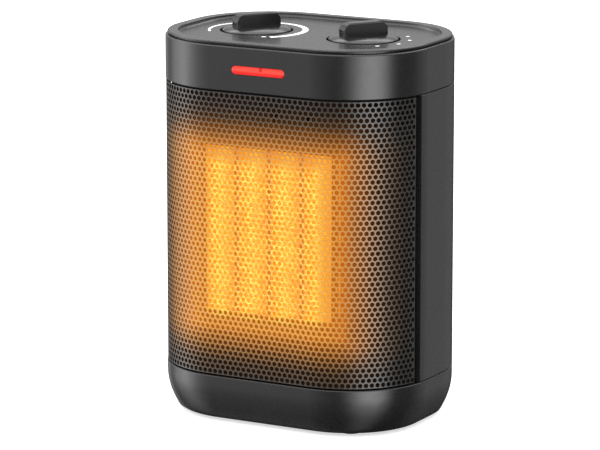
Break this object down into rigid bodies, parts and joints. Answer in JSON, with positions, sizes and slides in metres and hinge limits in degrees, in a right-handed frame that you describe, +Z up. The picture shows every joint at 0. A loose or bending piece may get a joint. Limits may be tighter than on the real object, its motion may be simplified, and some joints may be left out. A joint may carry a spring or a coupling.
{
  "type": "ceramic space heater",
  "caption": "Table-top fan heater with a rounded body, wraparound perforated front grille, finned heating core, indicator lens and rotary controls on top.",
  "frame": {"origin": "centre of the underside, on the surface that the feet stand on", "axes": "+Z up, -Y out of the front grille, +X to the right as seen from the front"},
  "size_m": [0.16, 0.1185, 0.2248],
  "materials": {
    "shell": "satin, fine moulded texture",
    "knob": "satin",
    "inner_plastic": "matte",
    "grille": "satin powder coat",
    "lens": "clear gloss",
    "heat_plastic": "glass filled, matte",
    "fin": "folded strip",
    "stone": "sintered",
    "fuse": "glazed",
    "brass": "plain",
    "steel": "zinc plated",
    "lamination": "stacked sheet",
    "sintered": "oil filled sintered bronze",
    "winding": "enamelled copper wire",
    "bakelite": "pressed",
    "rubber": "matte",
    "lamp": "clear"
  },
  "bodies": {
    "housing": {"base_shell": "shell", "rubber_feet": "rubber", "rear_shell": "shell", "front_grille": "grille", "air_duct": "inner_plastic", "fan_shroud": "inner_plastic", "top_band": "shell", "top_cover": "shell", "lamp_lens": "lens", "lamp_holder": "heat_plastic", "neon_lamp": "lamp", "heater_frame_top": "heat_plastic", "heater_frame_bottom": "heat_plastic", "heater_side_rails": "steel", "fin_block_1": "fin", "fin_block_2": "fin", "fin_block_3": "fin", "fin_block_4": "fin", "ptc_row_1": "stone", "ptc_row_2": "stone", "ptc_row_3": "stone", "electrodes_live": "brass", "electrodes_neutral": "brass", "thermal_cutout": "bakelite", "thermal_fuse": "fuse", "motor_mount": "steel", "motor_front_bracket": "steel", "motor_rear_bracket": "steel", "motor_bearings": "sintered", "motor_core": "lamination", "motor_coil": "winding", "coil_bobbin": "heat_plastic", "thermostat_body": "bakelite", "thermostat_bimetal": "steel", "mode_switch_body": "inner_plastic", "mode_switch_terminals": "brass", "control_nuts": "steel", "tilt_switch_body": "inner_plastic", "tilt_pin": "steel", "cord_gland": "rubber", "cord_clamp": "heat_plastic", "terminal_block": "heat_plastic", "housing_screws": "steel", "frame_screws": "steel", "rear_screws": "steel", "motor_screws": "steel", "clamp_screws": "steel"},
    "fan": {"fan_impeller": "inner_plastic", "motor_shaft": "steel", "motor_rotor": "lamination", "fan_clip": "steel"},
    "thermostat_dial": {"thermostat_knob": "knob", "thermostat_spindle": "steel"},
    "mode_dial": {"mode_knob": "knob", "mode_spindle": "steel"},
    "tilt_pendulum": {"tilt_weight": "steel"}
  },
  "joints": [
    {"name": "fan_spin", "type": "hinge", "parent": "housing", "child": "fan", "pos_m": [0, 0.02, 0.1095], "axis": [0, 1, 0], "continuous": true},
    {"name": "thermostat_turn", "type": "hinge", "parent": "housing", "child": "thermostat_dial", "pos_m": [-0.034, 0, 0.21], "axis": [0, 0, 1], "range_deg": [-105, 155]},
    {"name": "mode_turn", "type": "hinge", "parent": "housing", "child": "mode_dial", "pos_m": [0.034, 0, 0.21], "axis": [0, 0, 1], "range_deg": [-105, 0]},
    {"name": "tilt_swing", "type": "hinge", "parent": "housing", "child": "tilt_pendulum", "pos_m": [-0.034, 0, 0.022], "axis": [0, 1, 0], "range_deg": [-22, 22]}
  ]
}
